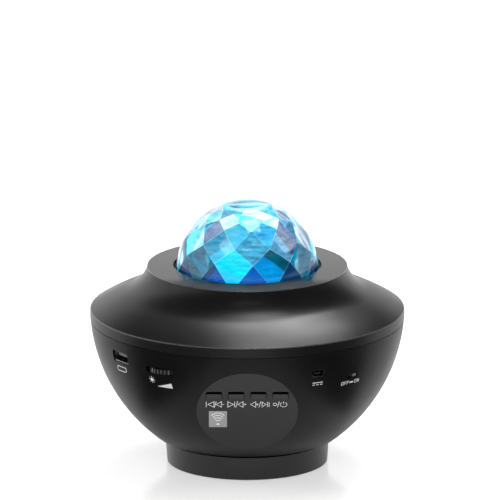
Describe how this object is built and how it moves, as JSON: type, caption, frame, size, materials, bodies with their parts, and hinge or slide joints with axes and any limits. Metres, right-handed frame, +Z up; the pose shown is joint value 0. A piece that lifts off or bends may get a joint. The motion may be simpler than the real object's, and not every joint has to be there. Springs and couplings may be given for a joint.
{
  "type": "light projector",
  "caption": "Table-top dome light projector: a black bowl on a round foot, a flared cover, a clear faceted dome, a button panel, a turning ripple lens, a laser and a speaker.",
  "frame": {"origin": "on the floor under the middle of the foot", "axes": "+Z up along the axis of the dome; the control panel faces -Y; +X is to the viewer's right"},
  "size_m": [0.168, 0.168, 0.1429],
  "materials": {
    "case_plastic": "satin black moulding with a fine grain",
    "dome_plastic": "clear polished outside, flat facets inside",
    "lens_plastic": "clear polished",
    "button_plastic": "satin black",
    "wheel_plastic": "satin black, ribbed",
    "switch_plastic": "plain black",
    "engine_plastic": "plain white moulding",
    "gear_plastic": "natural white",
    "board_laminate": "green lacquer",
    "led_board_metal": "plain extruded",
    "led_lens": "clear over a coloured chip",
    "socket_metal": "tin plated",
    "socket_plastic": "plain black",
    "screw_steel": "zinc plated",
    "motor_metal": "nickel plated",
    "laser_brass": "turned",
    "capacitor_sleeve": "dark sleeve",
    "pad_rubber": "soft matt",
    "speaker_metal": "dark plating",
    "cone_paper": "pressed paper"
  },
  "bodies": {
    "housing": {"board_chips": "switch_plastic", "board_screws": "screw_steel", "button_board": "board_laminate", "button_board_screws": "screw_steel", "capacitors": "capacitor_sleeve", "case_screws": "screw_steel", "condenser_lens": "lens_plastic", "dc_insulator": "socket_plastic", "dc_shell": "socket_metal", "deck_screws": "screw_steel", "dial_potentiometer": "wheel_plastic", "dome": "dome_plastic", "dome_retainer": "engine_plastic", "foot": "case_plastic", "foot_pads": "pad_rubber", "foot_screws": "screw_steel", "gear_keeper": "engine_plastic", "heat_sink": "led_board_metal", "heat_sink_screws": "screw_steel", "laser_barrel": "laser_brass", "laser_lens": "lens_plastic", "laser_set_screw": "screw_steel", "led_board": "led_board_metal", "led_emitters": "led_lens", "lower_bowl": "case_plastic", "main_board": "board_laminate", "motor_can": "motor_metal", "motor_gearbox": "motor_metal", "motor_screws": "screw_steel", "optical_deck": "engine_plastic", "remote_receiver": "switch_plastic", "retainer_screws": "screw_steel", "speaker_basket": "speaker_metal", "speaker_gasket": "pad_rubber", "speaker_magnet": "speaker_metal", "speaker_screws": "screw_steel", "speaker_surround": "pad_rubber", "switch_body": "switch_plastic", "tact_switches": "switch_plastic", "top_cover": "case_plastic", "usb_insulator": "socket_plastic", "usb_shell": "socket_metal", "wire_headers": "socket_plastic"},
    "ripple": {"ripple_gear": "gear_plastic", "ripple_lens": "lens_plastic"},
    "drive": {"drive_pinion": "gear_plastic", "motor_shaft": "screw_steel"},
    "grating": {"grating_gear": "gear_plastic", "grating_film": "lens_plastic"},
    "previous_button": {"previous_button": "button_plastic"},
    "next_button": {"next_button": "button_plastic"},
    "mute_button": {"mute_button": "button_plastic"},
    "mode_button": {"mode_button": "button_plastic"},
    "brightness_dial": {"brightness_dial": "wheel_plastic"},
    "power_switch": {"power_switch": "switch_plastic"},
    "speaker_cone": {"speaker_cone": "cone_paper"}
  },
  "joints": [
    {"name": "ripple_spin", "type": "hinge", "parent": "housing", "child": "ripple", "pos_m": [0, 0, 0.0923], "axis": [0, 0, 1], "continuous": true},
    {"name": "drive_spin", "type": "hinge", "parent": "housing", "child": "drive", "pos_m": [-0.0252, 0, 0.0923], "axis": [0, 0, 1], "continuous": true},
    {"name": "grating_spin", "type": "hinge", "parent": "housing", "child": "grating", "pos_m": [0, 0.0294, 0.0923], "axis": [0, 0, 1], "continuous": true},
    {"name": "previous_press", "type": "slide", "parent": "housing", "child": "previous_button", "axis": [0, 0.8763, 0.4818], "range_m": [0, 0.0008], "stiffness_N_per_m": 400},
    {"name": "next_press", "type": "slide", "parent": "housing", "child": "next_button", "axis": [0, 0.8763, 0.4818], "range_m": [0, 0.0008], "stiffness_N_per_m": 400},
    {"name": "mute_press", "type": "slide", "parent": "housing", "child": "mute_button", "axis": [0, 0.8763, 0.4818], "range_m": [0, 0.0008], "stiffness_N_per_m": 400},
    {"name": "mode_press", "type": "slide", "parent": "housing", "child": "mode_button", "axis": [0, 0.8763, 0.4818], "range_m": [0, 0.0008], "stiffness_N_per_m": 400},
    {"name": "dial_turn", "type": "hinge", "parent": "housing", "child": "brightness_dial", "pos_m": [-0.04179, -0.05991, 0.06725], "axis": [0, 0, 1], "range_deg": [-135, 135]},
    {"name": "switch_slide", "type": "slide", "parent": "housing", "child": "power_switch", "axis": [0.7254, 0.6884, 0], "range_m": [-0.004, 0]},
    {"name": "cone_drive", "type": "slide", "parent": "housing", "child": "speaker_cone", "axis": [0, 0, 1], "range_m": [-0.0008, 0.0008], "stiffness_N_per_m": 800, "deforming": ["speaker_surround"]}
  ],
  "couplings": [
    {"joint": "drive_spin", "follows": "ripple_spin", "ratio": -5},
    {"joint": "grating_spin", "follows": "ripple_spin", "ratio": -2.5}
  ]
}
